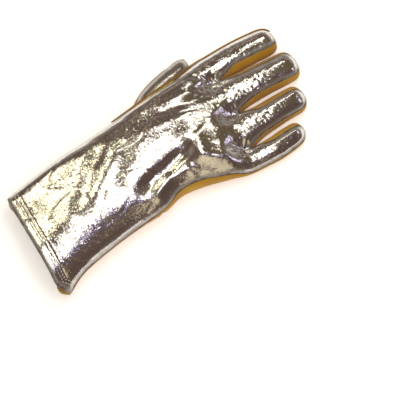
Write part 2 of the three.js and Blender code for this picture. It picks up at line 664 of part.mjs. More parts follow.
// The four fingers, with the leather strips in the gaps between them.
function buildFingers(outer, allRuns) {
  allRuns.forEach((rows, index) => {
    const finger = FINGERS[index];
    const side = (gap) => (gap ? `fourchette_${gap.between}` : "palm_panel");
    outer.grid("back_panel", rows.map((r) => r.back));
    outer.grid("palm_panel", rows.map((r) => r.palm));
    outer.grid(side(CROTCHES[index]), rows.map((r) => r.right));
    outer.grid(side(CROTCHES[index - 1]), rows.map((r) => r.left));
    const end = rows[rows.length - 1];
    const closing = closeTip(
      end.back, end.right.slice(1, -1), [...end.palm].reverse(),
      end.left.slice(1, -1).reverse(), finger.tipY);
    outer.grid("back_panel", closing.slice(0, SIDE_COLUMNS));
    outer.grid("palm_panel", closing.slice(SIDE_COLUMNS - 1));
  });
}

function fixNormals(outer, cuffRow, web) {
  const raw = outer.normals();
  for (const p of [...cuffRow.back, ...cuffRow.right, ...cuffRow.palm, ...cuffRow.left]) {
    const v = outer.at(p);
    outer.fixedNormals.set(v, raw[v].clone().setY(0).normalize());
  }
  outer.fixedNormals.set(outer.at(web[1]), new THREE.Vector3(0, 1, 0));
  outer.fixedNormals.set(outer.at(web[2]), WEB_TOP_FACING);
  for (const gap of CROTCHES)
    for (let i = 1; i < SIDE_COLUMNS; i++) {
      const z = lerp(gap.top, gap.bottom, i / SIDE_COLUMNS);
      outer.fixedNormals.set(outer.at(new THREE.Vector3(gap.x, gap.y, z)), new THREE.Vector3(0, 1, 0));
    }
  outer.points.forEach((p, v) => {
    if (p.z === 0 && !outer.fixedNormals.has(v)) outer.fixedNormals.set(v, new THREE.Vector3(0, 0, -1));
  });
}

function buildGlove() {
  const outer = new OuterFace();
  const fingerRows = FINGERS.map((finger, index) => {
    const bases = [CROTCHES[index - 1], CROTCHES[index]].filter(Boolean).map((gap) => gap.y);
    const baseY = bases.reduce((a, b) => a + b, 0) / bases.length;
    return tubeStations(baseY, finger.tipY, FINGER_STEPS).map((station) => fingerRuns(index, station));
  });
  const cuffRow = buildGauntlet(outer);
  const thumbRows = buildThumbSide(outer);
  const lastRow = thumbRows[thumbRows.length - 1];
  const web = webLine(lastRow);
  const thumbSeam = buildThumb(outer, lastRow, web);
  const knuckleSeam = buildKnuckles(outer, lastRow, web, fingerRows.map((rows) => rows[0]));
  buildFingers(outer, fingerRows);
  fixNormals(outer, cuffRow, web);
  const normals = outer.normals();

  const glove = new THREE.Group();
  const add = (name, geometry, look) => {
    const mesh = new THREE.Mesh(geometry, new THREE.MeshStandardMaterial(look));
    mesh.name = name;
    glove.add(mesh);
  };
  const foilPanels = new Set(["back_panel", "thumb_wing"]);
  for (const [name, faces] of outer.panels)
    add(name, sheetGeometry(outer, normals, faces), foilPanels.has(name) ? FOIL : LEATHER);

  const indexSeam = [
    ...thumbRows.map((r) => r.back[0]),
    ...knuckleSeam.slice(1),
    ...fingerRows[0].slice(1).map((r) => r.back[0]),
  ];
  const outerThumbSeam = [...thumbRows.map((r) => r.side[THUMB_COLUMNS]), ...thumbSeam.slice(1)];
  const indices = (line) => line.map((p) => outer.at(p));
  add("welt_index_side", weltGeometry(outer, normals, indices(indexSeam)), LEATHER);
  add("welt_thumb", weltGeometry(outer, normals, indices(outerThumbSeam)), LEATHER);
  return glove;
}

export default buildGlove();
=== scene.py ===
"""An aluminized heat resistant gauntlet glove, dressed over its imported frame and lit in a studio.

Lengths are in metres where a name says nothing else. +Y runs to the fingertips, -X is the thumb
side and +Z is the back of the hand, as in the frame.
"""

import itertools
import logging
import math
from collections.abc import Callable
from dataclasses import dataclass, field
from enum import Enum, IntEnum
from typing import Any

import bmesh
import bpy
import numpy as np
from mathutils import Matrix, Vector
from mathutils.bvhtree import BVHTree
from mathutils.kdtree import KDTree


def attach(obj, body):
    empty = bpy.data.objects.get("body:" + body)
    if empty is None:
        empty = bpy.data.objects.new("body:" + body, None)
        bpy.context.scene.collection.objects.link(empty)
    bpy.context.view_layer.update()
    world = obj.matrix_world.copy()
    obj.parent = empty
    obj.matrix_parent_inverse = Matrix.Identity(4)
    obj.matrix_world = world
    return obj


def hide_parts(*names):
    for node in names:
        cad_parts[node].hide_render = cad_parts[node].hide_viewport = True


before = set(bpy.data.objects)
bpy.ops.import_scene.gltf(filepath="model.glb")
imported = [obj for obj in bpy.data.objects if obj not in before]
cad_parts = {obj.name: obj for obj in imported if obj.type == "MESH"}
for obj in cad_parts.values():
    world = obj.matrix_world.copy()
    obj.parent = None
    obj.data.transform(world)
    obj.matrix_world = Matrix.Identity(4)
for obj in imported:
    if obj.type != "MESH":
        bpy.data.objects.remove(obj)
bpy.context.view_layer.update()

log = logging.getLogger("glove")

MM = 0.001
BODY = "root"
FOIL_SLOT = "aluminized_fabric"
LEATHER_SLOT = "leather"

MERGE_DISTANCE = 0.01 * MM
WALL_EDGE_ANGLE = math.radians(48)  # where a sheet's face ends and its rim begins
REST_HEIGHT = 0.0  # nothing goes below the resting surface
CUFF_ZONE_Y = -158 * MM  # the cuff's edge lies before this
WRIST_SEAM_Y = -32 * MM
SEAM_WEAR_AND_SHADE = "seam_wear_and_shade"  # a sheet's attribute: 1 at a seam and high on faces that look sideways, 0 away from them; the foil paints shade with it, partly real wear and partly painted shade of the shaded floor it mirrors there


class Wall(IntEnum):
    """The three sides of a sewn sheet, which are also its material slots."""

    OUTER = 0
    RIM = 1
    INNER = 2


class Form(Enum):
    """How a sheet is bent, which tells its outer face from its inner one."""

    PANEL = "panel"  # the outer face is the larger one
    STRIP = "strip"  # bent into a U between two fingers, with its outer face inside the bend


# ---- Small tools ----


def linear_colour(hex_code: str) -> tuple[float, float, float, float]:
    """Turns an sRGB hex value into a linear colour.

    Args:
        hex_code: six hex digits, such as "b5851f".

    Returns:
        Red, green, blue and an alpha of 1.
    """
    channels = [int(hex_code[i : i + 2], 16) / 255 for i in (0, 2, 4)]
    linear = [c / 12.92 if c <= 0.04045 else ((c + 0.055) / 1.055) ** 2.4 for c in channels]
    return (*linear, 1.0)


def scale_of(size_mm: float) -> float:
    """The scale that gives a pattern this size in millimetres."""
    return 1 / (size_mm * MM)


def add_node(
    tree: bpy.types.NodeTree, kind: str, inputs: dict[Any, Any], **settings: Any
) -> bpy.types.Node:
    """Adds a node with its settings and links.

    Args:
        tree: the node tree.
        kind: the node's type.
        inputs: what its inputs get, as in set_inputs.
        settings: the node's own properties.

    Returns:
        The new node.
    """
    node = tree.nodes.new(kind)
    for name, value in settings.items():
        setattr(node, name, value)
    set_inputs(tree, node, inputs)
    return node


def set_inputs(tree: bpy.types.NodeTree, node: bpy.types.Node, inputs: dict[Any, Any]) -> None:
    """Sets or links a node's inputs.

    Args:
        tree: the node tree.
        node: the node.
        inputs: a value, a hex colour or an output socket, for each input by name or number.
    """
    for name, value in inputs.items():
        if isinstance(value, bpy.types.NodeSocket):
            tree.links.new(value, node.inputs[name])
        else:
            plain = linear_colour(value) if isinstance(value, str) else value
            node.inputs[name].default_value = plain


def smooth_ramp(values: np.ndarray, start: float, end: float) -> np.ndarray:
    """Rises smoothly from 0 at start to 1 at end.

    Args:
        values: where to read the ramp.
        start: the last value with 0.
        end: the first value with 1.

    Returns:
        The ramp at each value.
    """
    share = np.clip((values - start) / (end - start), 0, 1)
    return share * share * (3 - 2 * share)


def lattice_noise(points: np.ndarray, seed: int) -> np.ndarray:
    """Smooth gradient noise, the same on each run.

    Args:
        points: one row for each point, in cells of the noise.
        seed: which noise.

    Returns:
        A value between about -1 and 1 for each point.
    """
    cell = np.floor(points).astype(np.int64)
    local = points - cell
    fade = local**3 * (local * (local * 6 - 15) + 10)
    total = np.zeros(len(points))
    for corner in itertools.product((0, 1), repeat=3):
        at = cell + corner
        mixed = at[:, 0] * 73856093 ^ at[:, 1] * 19349663 ^ at[:, 2] * 83492791 ^ seed * 2654435761
        mixed = ((mixed ^ mixed >> 13) * 1274126177) & 0xFFFFFFFF
        mixed ^= mixed >> 15
        dot = np.zeros(len(points))
        weight = np.ones(len(points))
        for axis in range(3):
            slope = ((mixed >> 8 * axis) & 255) / 127.5 - 1
            dot += slope * (local[:, axis] - corner[axis])
            weight *= fade[:, axis] if corner[axis] else 1 - fade[:, axis]
        total += weight * dot
    return total * 1.4


def new_object(name: str, mesh: bpy.types.Mesh) -> bpy.types.Object:
    """Puts a mesh into the scene as an object at the origin.

    Args:
        name: the object's name.
        mesh: its mesh.

    Returns:
        The object.
    """
    piece = bpy.data.objects.new(name, mesh)
    bpy.context.scene.collection.objects.link(piece)
    return piece


# ---- Finishes ----


@dataclass(frozen=True)
class AluminizedFoil:
    """Aramid cloth with an aluminium film bonded on, crinkled all over by wear.

    The film is a mirror that is broken into small flat facets, each tilted its own way, so a lamp
    shows as a white band that breaks up into sparks along its edges.
    """

    name: str = "aluminized_aramid"
    clean_hex: str = "f3f1ee"
    worn_hex: str = "cfc8bd"
    rubbed_and_shaded_hex: str = "665952"  # where the film is abraded along a seam and on faces that look sideways: real wear, and painted shade of the shaded floor it mirrors there
    rubbed_and_shaded_roughness: float = 0.45
    rubbed_and_shaded_metal: float = 0.35  # how much of the film is left there, where the painted shade dulls the mirror
    facets: tuple[tuple[float, float], ...] = ((1.8, 0.36), (0.8, 0.65))  # size in mm, tilt
    warp_mm: float = 1.1  # how far the facets' edges wander
    crease_mm: float = 6.5
    dull_patch_mm: float = 24.0
    relief_mm: float = 0.08
    roughness: tuple[float, float] = (0.10, 0.2)

    def material(self) -> bpy.types.Material:
        """Builds the material."""
        material, tree, coords, shader = blank_material(self.name)
        patch = add_node(
            tree, "ShaderNodeTexNoise",
            {"Vector": coords, "Scale": scale_of(self.dull_patch_mm), "Detail": 3.0,
             "Roughness": 0.6})
        crease = add_node(
            tree, "ShaderNodeTexNoise",
            {"Vector": coords, "Scale": scale_of(self.crease_mm), "Detail": 2.0,
             "Roughness": 0.5, "Distortion": 0.7})
        bump = add_node(
            tree, "ShaderNodeBump",
            {"Height": crease.outputs["Fac"], "Strength": 1.0, "Distance": self.relief_mm * MM,
             "Normal": self._faceted(tree, coords)})
        colour = add_node(
            tree, "ShaderNodeMix",
            {0: patch.outputs["Fac"], 6: self.clean_hex, 7: self.worn_hex},
            data_type="RGBA")
        rough = add_node(
            tree, "ShaderNodeMapRange",
            {"Value": patch.outputs["Fac"], "From Min": 0.3, "From Max": 0.7,
             "To Min": self.roughness[0], "To Max": self.roughness[1]})
        # The attribute read here darkens, dulls and unmetals the film: real wear along the seams,
        # and painted shade of the shaded floor mirrored at the edges and on faces that look
        # sideways.
        wear_and_shade = add_node(tree, "ShaderNodeAttribute", {}, attribute_name=SEAM_WEAR_AND_SHADE).outputs["Fac"]
        spotted = add_node(
            tree, "ShaderNodeMath", {0: crease.outputs["Fac"], 1: 1.2, 2: 0.25},
            operation="MULTIPLY_ADD")
        rubbed_and_shaded_share = add_node(
            tree, "ShaderNodeMath", {0: wear_and_shade, 1: spotted.outputs[0]}, operation="MULTIPLY",
            use_clamp=True)
        rubbed_and_shaded_colour = add_node(
            tree, "ShaderNodeMix",
            {0: rubbed_and_shaded_share.outputs[0], 6: colour.outputs[2], 7: self.rubbed_and_shaded_hex},
            data_type="RGBA")
        rubbed_and_shaded_rough = add_node(
            tree, "ShaderNodeMix",
            {0: rubbed_and_shaded_share.outputs[0], 2: rough.outputs[0], 3: self.rubbed_and_shaded_roughness},
            data_type="FLOAT")
        metal = add_node(
            tree, "ShaderNodeMapRange",
            {"Value": rubbed_and_shaded_share.outputs[0], "To Min": 1.0, "To Max": self.rubbed_and_shaded_metal})
        set_inputs(tree, shader, {
            "Base Color": rubbed_and_shaded_colour.outputs[2], "Metallic": metal.outputs[0],
            "Roughness": rubbed_and_shaded_rough.outputs[0], "Normal": bump.outputs["Normal"]})
        return material

    def _faceted(
        self, tree: bpy.types.NodeTree, coords: bpy.types.NodeSocket
    ) -> bpy.types.NodeSocket:
        """Tilts the surface normal facet by facet.

        Args:
            tree: the material's node tree.
            coords: its Object coordinates.

        Returns:
            The tilted normal.
        """
        wander = add_node(
            tree, "ShaderNodeTexNoise",
            {"Vector": coords, "Scale": scale_of(2 * self.warp_mm), "Detail": 2.0})
        warped = add_node(
            tree, "ShaderNodeVectorMath",
            {0: wander.outputs["Color"], 1: (self.warp_mm * MM,) * 3, 2: coords},
            operation="MULTIPLY_ADD")
        normal = add_node(tree, "ShaderNodeNewGeometry", {}).outputs["Normal"]
        for size_mm, tilt in self.facets:
            cells = add_node(
                tree, "ShaderNodeTexVoronoi",
                {"Vector": warped.outputs[0], "Scale": scale_of(size_mm)}, feature="F1")
            centred = add_node(
                tree, "ShaderNodeVectorMath", {0: cells.outputs["Color"], 1: (0.5, 0.5, 0.5)},
                operation="SUBTRACT")
            squared = add_node(
                tree, "ShaderNodeVectorMath", {0: centred.outputs[0], 1: centred.outputs[0]},
                operation="MULTIPLY")
            cubed = add_node(  # most facets lie nearly flat, and a few stand out
                tree, "ShaderNodeVectorMath", {0: squared.outputs[0], 1: centred.outputs[0]},
                operation="MULTIPLY")
            normal = add_node(
                tree, "ShaderNodeVectorMath", {0: cubed.outputs[0], 1: (tilt,) * 3, 2: normal},
                operation="MULTIPLY_ADD").outputs[0]
        return add_node(tree, "ShaderNodeVectorMath", {0: normal}, operation="NORMALIZE").outputs[0]


@dataclass(frozen=True)
class SplitLeather:
    """Chrome-tanned split cowhide, dyed golden yellow and sueded.

    It is matt, with a short nap, soft wrinkles and darker places where it was handled.
    """

    name: str = "golden_split_cowhide"
    mid_hex: str = "bd8a22"
    light_hex: str = "d3a437"
    dark_hex: str = "86591a"
    nap_mm: float = 0.9
    wrinkle_mm: float = 5.0
    cloud_mm: float = 34.0
    relief_mm: float = 0.35
    roughness: float = 0.82

    def material(self) -> bpy.types.Material:
        """Builds the material."""
        material, tree, coords, shader = blank_material(self.name)
        cloud = add_node(
            tree, "ShaderNodeTexNoise",
            {"Vector": coords, "Scale": scale_of(self.cloud_mm), "Detail": 4.0, "Roughness": 0.6})
        nap = add_node(
            tree, "ShaderNodeTexNoise",
            {"Vector": coords, "Scale": scale_of(self.nap_mm), "Detail": 3.0, "Roughness": 0.7})
        wrinkle = add_node(
            tree, "ShaderNodeTexVoronoi",
            {"Vector": coords, "Scale": scale_of(self.wrinkle_mm), "Smoothness": 0.6},
            feature="SMOOTH_F1")
        cloud_share = add_node(
            tree, "ShaderNodeMapRange",
            {"Value": cloud.outputs["Fac"], "From Min": 0.35, "From Max": 0.68})
        nap_share = add_node(
            tree, "ShaderNodeMapRange",
            {"Value": nap.outputs["Fac"], "From Min": 0.36, "From Max": 0.7, "To Max": 0.45})
        clouded = add_node(
            tree, "ShaderNodeMix",
            {0: cloud_share.outputs[0], 6: self.mid_hex, 7: self.light_hex},
            data_type="RGBA")
        napped = add_node(
            tree, "ShaderNodeMix",
            {0: nap_share.outputs[0], 6: clouded.outputs[2], 7: self.dark_hex},
            data_type="RGBA")
        height = add_node(
            tree, "ShaderNodeMath", {0: wrinkle.outputs["Distance"], 1: 1.3, 2: nap.outputs["Fac"]},
            operation="MULTIPLY_ADD")
        bump = add_node(
            tree, "ShaderNodeBump",
            {"Height": height.outputs[0], "Strength": 0.8, "Distance": self.relief_mm * MM})
        set_inputs(tree, shader, {
            "Base Color": napped.outputs[2], "Normal": bump.outputs["Normal"],
            "Roughness": self.roughness, "IOR": 1.45, "Specular IOR Level": 0.3,
            "Sheen Weight": 0.25, "Sheen Roughness": 0.5})
        return material


@dataclass(frozen=True)
class WovenBacking:
    """Undyed aramid twill, the inside of the aluminized cloth."""

    name: str = "aramid_twill"
    warp_hex: str = "d8c690"
    weft_hex: str = "b39d62"
    thread_mm: float = 1.1  # coarser than the cloth's own 0.5 mm threads, so that the weave shows
    relief_mm: float = 0.15

    def material(self) -> bpy.types.Material:
        """Builds the material."""
        material, tree, coords, shader = blank_material(self.name)
        waves = [
            add_node(
                tree, "ShaderNodeTexWave",
                {"Vector": coords, "Scale": scale_of(20 * self.thread_mm), "Distortion": 0.6,
                 "Detail": 1.0},
                wave_type="BANDS", bands_direction=direction)
            for direction in ("X", "Y")
        ]
        weave = add_node(
            tree, "ShaderNodeMath", {0: waves[0].outputs["Fac"], 1: waves[1].outputs["Fac"]},
            operation="MAXIMUM")
        colour = add_node(
            tree, "ShaderNodeMix",
            {0: weave.outputs[0], 6: self.weft_hex, 7: self.warp_hex},
            data_type="RGBA")
        bump = add_node(
            tree, "ShaderNodeBump",
            {"Height": weave.outputs[0], "Strength": 0.7, "Distance": self.relief_mm * MM})
        set_inputs(tree, shader, {
            "Base Color": colour.outputs[2], "Normal": bump.outputs["Normal"],
            "Roughness": 0.9})
        return material


@dataclass(frozen=True)
class FleshSide:
    """The raw flesh side of split cowhide, paler and fuzzier than its dyed face."""

    name: str = "raw_split_cowhide"
    light_hex: str = "c9a561"
    dark_hex: str = "96703a"
    fuzz_mm: float = 1.4
    relief_mm: float = 0.3

    def material(self) -> bpy.types.Material:
        """Builds the material."""
        material, tree, coords, shader = blank_material(self.name)
        fuzz = add_node(
            tree, "ShaderNodeTexNoise",
            {"Vector": coords, "Scale": scale_of(self.fuzz_mm), "Detail": 5.0, "Roughness": 0.75})
        colour = add_node(
            tree, "ShaderNodeMix",
            {0: fuzz.outputs["Fac"], 6: self.light_hex, 7: self.dark_hex},
            data_type="RGBA")
        bump = add_node(
            tree, "ShaderNodeBump",
            {"Height": fuzz.outputs["Fac"], "Strength": 0.8, "Distance": self.relief_mm * MM})
        set_inputs(tree, shader, {
            "Base Color": colour.outputs[2], "Normal": bump.outputs["Normal"],
            "Roughness": 0.95})
        return material


@dataclass(frozen=True)
class SewingThread:
    """Spun aramid sewing thread, matt and a little hairy."""

    name: str
    light_hex: str
    dark_hex: str
    ply_mm: float = 0.8

    def material(self) -> bpy.types.Material:
        """Builds the material."""
        material, tree, coords, shader = blank_material(self.name)
        ply = add_node(
            tree, "ShaderNodeTexNoise",
            {"Vector": coords, "Scale": scale_of(self.ply_mm), "Detail": 2.0})
        colour = add_node(
            tree, "ShaderNodeMix",
            {0: ply.outputs["Fac"], 6: self.light_hex, 7: self.dark_hex},
            data_type="RGBA")
        set_inputs(tree, shader, {
            "Base Color": colour.outputs[2], "Roughness": 0.7, "Sheen Weight": 0.3})
        return material


def blank_material(
    name: str,
) -> tuple[bpy.types.Material, bpy.types.NodeTree, bpy.types.NodeSocket, bpy.types.Node]:
    """Starts a material.

    Args:
        name: the material's name.

    Returns:
        The material, its node tree, its Object coordinates and its surface shader.
    """
    material = bpy.data.materials.new(name)
    material.use_nodes = True
    tree = material.node_tree
    shader = tree.nodes["Principled BSDF"]
    coords = add_node(tree, "ShaderNodeTexCoord", {}).outputs["Object"]
    return material, tree, coords, shader


# ---- Sewn sheets ----


@dataclass(frozen=True)
class Unevenness:
    """One layer of waves in a surface, in millimetres."""

    wavelength: tuple[float, float, float]
    height: float
    seed: int
    creased: bool = False  # narrow valleys between flat hills

    VALLEY = 0.16  # a valley's width, of the noise's range
    HILL = 0.4  # where a hill is cut flat

    def at(self, points_mm: np.ndarray) -> np.ndarray:
        """The layer's height at each point, in millimetres."""
        noise = lattice_noise(points_mm / np.array(self.wavelength), self.seed)
        if self.creased:
            noise = 1 - 2 * np.exp(-((noise / self.VALLEY) ** 2))
            return self.height * np.minimum(noise, self.HILL)
        return self.height * noise


@dataclass(frozen=True)
class Crease:
    """A straight fold in the back of the glove, in millimetres."""

    start: tuple[float, float]
    end: tuple[float, float]
    width: float
    depth: float

    def at(self, points_mm: np.ndarray) -> np.ndarray:
        """How far each point rises, which is less than 0 in a valley."""
        start = np.array(self.start)
        along = np.array(self.end) - start
        share = np.clip((points_mm[:, :2] - start) @ along / (along @ along), 0, 1)
        off = points_mm[:, :2] - start - share[:, None] * along
        return -self.depth * np.exp(-(off**2).sum(1) / self.width**2)


@dataclass(frozen=True)
class Crumple:
    """A place where the film is crushed into short sharp folds, in millimetres."""

    centre: tuple[float, float]
    radius: float
    height: float
    wavelength: float = 7.0

    SEED = 91

    def at(self, points_mm: np.ndarray) -> np.ndarray:
        """How far each point rises."""
        off = points_mm[:, :2] - np.array(self.centre)
        near = np.exp(-(off**2).sum(1) / self.radius**2)
        folds = 1 - 4 * np.abs(lattice_noise(points_mm / self.wavelength, self.SEED))
        return self.height * near * folds


@dataclass(frozen=True)
class Surface:
    """What uneven cloth or leather adds to a sheet's outer face."""

    layers: tuple[Unevenness, ...]
    creases: tuple[Crease | Crumple, ...] = ()
    seam_fade_mm: float = 7.0
    seam_roll_mm: float = 2.6  # how wide the edge turns down into a seam
    seam_depth_mm: float = 0.85
    pucker_mm: float = 6.5
    pucker_height_mm: float = 0.28
    pucker_start_mm: float = 1.5
    pucker_reach_mm: float = 5.0

    PUCKER_SEED = 77

    def rise(self, points_mm: np.ndarray, seam_mm: np.ndarray) -> np.ndarray:
        """Works out how far the outer face moves out.

        Args:
            points_mm: the points of the face.
            seam_mm: how far each one is from the nearest seam.

        Returns:
            The rise of each point in millimetres.
        """
        free = smooth_ramp(seam_mm, 0.0, self.seam_fade_mm)
        rise = sum(layer.at(points_mm) for layer in self.layers) * free
        if self.creases:
            rise = rise + sum(crease.at(points_mm) for crease in self.creases) * free
        rise -= self.seam_depth_mm * (1 - smooth_ramp(seam_mm, 0.0, self.seam_roll_mm))
        pucker = lattice_noise(points_mm / self.pucker_mm, self.PUCKER_SEED)
        near = smooth_ramp(seam_mm, 0.0, self.pucker_start_mm)
        far = smooth_ramp(seam_mm, self.pucker_start_mm, self.pucker_reach_mm)
        return rise + self.pucker_height_mm * pucker * (near * (1 - far))


@dataclass
class Sheet:
    """A sewn panel: a copy of its CAD node with smooth faces, soft folds and rolled seams."""

    node: str
    slot: str
    surface: Surface
    outer: bpy.types.Material
    inner: bpy.types.Material
    form: Form = Form.PANEL
    rows_mm: tuple[float, ...] = ()  # stitched rows that press into the hem
    piece: bpy.types.Object = field(init=False)
    skin: BVHTree = field(init=False)
    rims: list[list[Vector]] = field(init=False)

    LEVELS = 3
    WALL_SHARE = 0.1  # of the largest face's area
    HOLDING_ROUNDS = 2  # how often the cage is moved so that the node's vertices stay in place
    WEAR_AND_SHADE_MM = 7.0  # how far the wear and its painted shade reach from a seam
    SIDE_SHADE = 0.8  # the painted shade of what faces sideways
    SIDE_SHADE_WAY = (0.38, 0.64)  # the normal's height where that painted shade ends and begins
    CUFF_WEAR_AND_SHADE_SHARE = 1.5  # how much narrower the wear and its painted shade are at the cuff
    ROW_PRESS_MM = 0.22
    ROW_WIDTH_MM = 1.1

    def build(self) -> "Sheet":
        """Makes the piece."""
        coarse = self._coarse_copy()
        mesh = self._refined(coarse)
        self._shape(mesh)
        for material in (self.outer, self.outer, self.inner):  # one for each wall
            mesh.materials.append(material)
        self.piece = new_object(f"{self.node}_sewn", mesh)
        self._remember(mesh)
        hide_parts(self.node)
        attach(self.piece, BODY)
        triangles = sum(len(polygon.vertices) - 2 for polygon in mesh.polygons)
        log.info("%s: %d triangles", self.piece.name, triangles)
        return self

    def _coarse_copy(self) -> bpy.types.Mesh:
        """Copies the node, merged, in quads, with its three walls told apart."""
        bm = bmesh.new()
        bm.from_mesh(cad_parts[self.node].data)
        bmesh.ops.remove_doubles(bm, verts=bm.verts, dist=MERGE_DISTANCE)
        bmesh.ops.dissolve_degenerate(bm, dist=MERGE_DISTANCE, edges=bm.edges)
        self._tell_walls(bm)
        bmesh.ops.join_triangles(
            bm, faces=bm.faces, cmp_materials=True, angle_face_threshold=math.radians(60),
            angle_shape_threshold=math.radians(70))
        crease = bm.edges.layers.float.new("crease_edge")
        for edge in bm.edges:
            walls = {face.material_index for face in edge.link_faces}
            at_cuff = max(v.co.y for v in edge.verts) < CUFF_ZONE_Y
            if len(walls) > 1 and not (at_cuff and self._faces_cuff(edge)):
                edge[crease] = 1.0
        mesh = bpy.data.meshes.new(f"{self.node}_coarse")
        bm.to_mesh(mesh)
        bm.free()
        return mesh

    @staticmethod
    def _faces_cuff(edge: bmesh.types.BMEdge) -> bool:
        """Whether the rim at this edge is the cuff's own edge."""
        return any(f.material_index == Wall.RIM and f.normal.y < -0.5 for f in edge.link_faces)

    def _tell_walls(self, bm: bmesh.types.BMesh) -> None:
        """Sets each face's material slot to its wall.

        Args:
            bm: the merged copy.
        """
        bm.faces.ensure_lookup_table()
        islands: list[list[bmesh.types.BMFace]] = []
        seen: set[int] = set()
        for first in bm.faces:
            if first.index in seen:
                continue
            seen.add(first.index)
            island, waiting = [], [first]
            while waiting:
                face = waiting.pop()
                island.append(face)
                for edge in face.edges:
                    for other in edge.link_faces:
                        bend = face.normal.angle(other.normal, 0.0)
                        if other.index in seen or bend > WALL_EDGE_ANGLE:
                            continue
                        seen.add(other.index)
                        waiting.append(other)
            islands.append(island)
        areas = [sum(face.calc_area() for face in island) for island in islands]
        ranked = sorted(zip(areas, islands), key=lambda pair: pair[0], reverse=True)
        if self.form is Form.PANEL:
            walls = [(Wall.OUTER, ranked[0][1]), (Wall.INNER, ranked[1][1])]
        else:
            middle = sum(v.co.x for v in bm.verts) / len(bm.verts)
            wide = [island for area, island in ranked if area > self.WALL_SHARE * ranked[0][0]]
            walls = [(self._strip_wall(middle, island), island) for island in wide]
        for face in bm.faces:
            face.material_index = Wall.RIM
        for wall, island in walls:
            for face in island:
                face.material_index = wall
        log.info("%s: walls %s", self.node, [(wall.name, len(island)) for wall, island in walls])

    @staticmethod
    def _strip_wall(middle: float, island: list[bmesh.types.BMFace]) -> Wall:
        """Tells a strip's wall: its outer faces look towards the middle of the gap.

        Args:
            middle: the X of the middle of the gap between the fingers.
            island: the connected faces of one wall.

        Returns:
            The wall that the faces belong to.
        """
        toward_gap = sum(
            face.calc_area() * face.normal.x * (middle - face.calc_center_median().x)
            for face in island)
        return Wall.OUTER if toward_gap > 0 else Wall.INNER

    def _refined(self, coarse: bpy.types.Mesh) -> bpy.types.Mesh:
        """Subdivides the coarse copy into a smooth mesh that runs through the copy's own vertices.

        Args:
            coarse: the coarse copy, which is used up.

        Returns:
            The smooth mesh.
        """
        cage = new_object(f"{self.node}_cage", coarse)
        refine = cage.modifiers.new("refine", "SUBSURF")
        refine.levels = refine.render_levels = self.LEVELS
        refine.boundary_smooth = "PRESERVE_CORNERS"
        wanted = self._places(coarse, len(coarse.vertices))
        held = wanted.copy()
        for _ in range(self.HOLDING_ROUNDS):
            smooth = bpy.data.meshes.new_from_object(
                cage.evaluated_get(bpy.context.evaluated_depsgraph_get()))
            held += wanted - self._places(smooth, len(wanted))
            bpy.data.meshes.remove(smooth)
            coarse.vertices.foreach_set("co", held.ravel())
            coarse.update()
        evaluated = cage.evaluated_get(bpy.context.evaluated_depsgraph_get())
        mesh = bpy.data.meshes.new_from_object(evaluated)
        mesh.name = f"{self.node}_sewn"
        bpy.data.objects.remove(cage)
        bpy.data.meshes.remove(coarse)
        return mesh

    @staticmethod
    def _places(mesh: bpy.types.Mesh, count: int) -> np.ndarray:
        """The places of a mesh's first vertices, one row for each."""
        places = np.empty(len(mesh.vertices) * 3)
        mesh.vertices.foreach_get("co", places)
        return places.reshape(-1, 3)[:count]

    def _shape(self, mesh: bpy.types.Mesh) -> None:
        """Moves the outer face by the surface's folds, seams and stitched rows.

        Args:
            mesh: the smooth mesh.
        """
        count = len(mesh.vertices)
        places = self._places(mesh, count)
        normals = np.zeros((count, 3))
        on_outer = np.zeros(count, bool)
        on_rim = np.zeros(count, bool)
        at_cuff = np.zeros(count, bool)
        for polygon in mesh.polygons:
            corners = list(polygon.vertices)
            if polygon.material_index == Wall.OUTER:
                on_outer[corners] = True
                normals[corners] += np.array(polygon.normal) * polygon.area
            elif polygon.material_index == Wall.RIM:
                on_rim[corners] = True
                if polygon.normal.y < -0.5 and polygon.center.y < CUFF_ZONE_Y:
                    at_cuff[corners] = True
        normals /= np.maximum(np.linalg.norm(normals, axis=1, keepdims=True), 1e-12)
        moved = np.flatnonzero(on_outer)
        edge = on_outer & on_rim
        seam_mm = self._distances(places, moved, np.flatnonzero(edge & ~at_cuff)) / MM
        cuff_mm = self._distances(places, moved, np.flatnonzero(edge & at_cuff)) / MM
        points_mm = places[moved] / MM
        rise = self.surface.rise(points_mm, seam_mm)
        rise *= smooth_ramp(cuff_mm, -4.0, 6.0) if edge[at_cuff].any() else 1.0
        # The attribute that the foil paints shade with: near a seam, real wear and painted shade of
        # the shaded floor mirrored there; on faces that look sideways, painted shade only.
        wear = mesh.attributes.new(SEAM_WEAR_AND_SHADE, "FLOAT", "POINT")
        worn_and_shaded = np.ones(count)
        near_seam = 1 - smooth_ramp(
            np.minimum(seam_mm, cuff_mm * self.CUFF_WEAR_AND_SHADE_SHARE), 0.0, self.WEAR_AND_SHADE_MM)
        faces_sideways = 1 - smooth_ramp(normals[moved][:, 2], *self.SIDE_SHADE_WAY)
        worn_and_shaded[moved] = np.maximum(near_seam, self.SIDE_SHADE * faces_sideways)
        wear.data.foreach_set("value", worn_and_shaded)
        for row in self.rows_mm:
            rise -= self.ROW_PRESS_MM * np.exp(-(((cuff_mm - row) / self.ROW_WIDTH_MM) ** 2))
        places[moved] += normals[moved] * (rise * MM)[:, None]
        places[:, 2] = np.maximum(places[:, 2], REST_HEIGHT)
        mesh.vertices.foreach_set("co", places.ravel())
        mesh.shade_smooth()
        self._sharpen(mesh)
        mesh.update()

    @staticmethod
    def _sharpen(mesh: bpy.types.Mesh) -> None:
        """Keeps the edges between the walls crisp."""
        walls: dict[tuple[int, int], set[int]] = {}
        for polygon in mesh.polygons:
            for key in polygon.edge_keys:
                walls.setdefault(key, set()).add(polygon.material_index)
        for edge in mesh.edges:
            edge.use_edge_sharp = len(walls[edge.key]) > 1

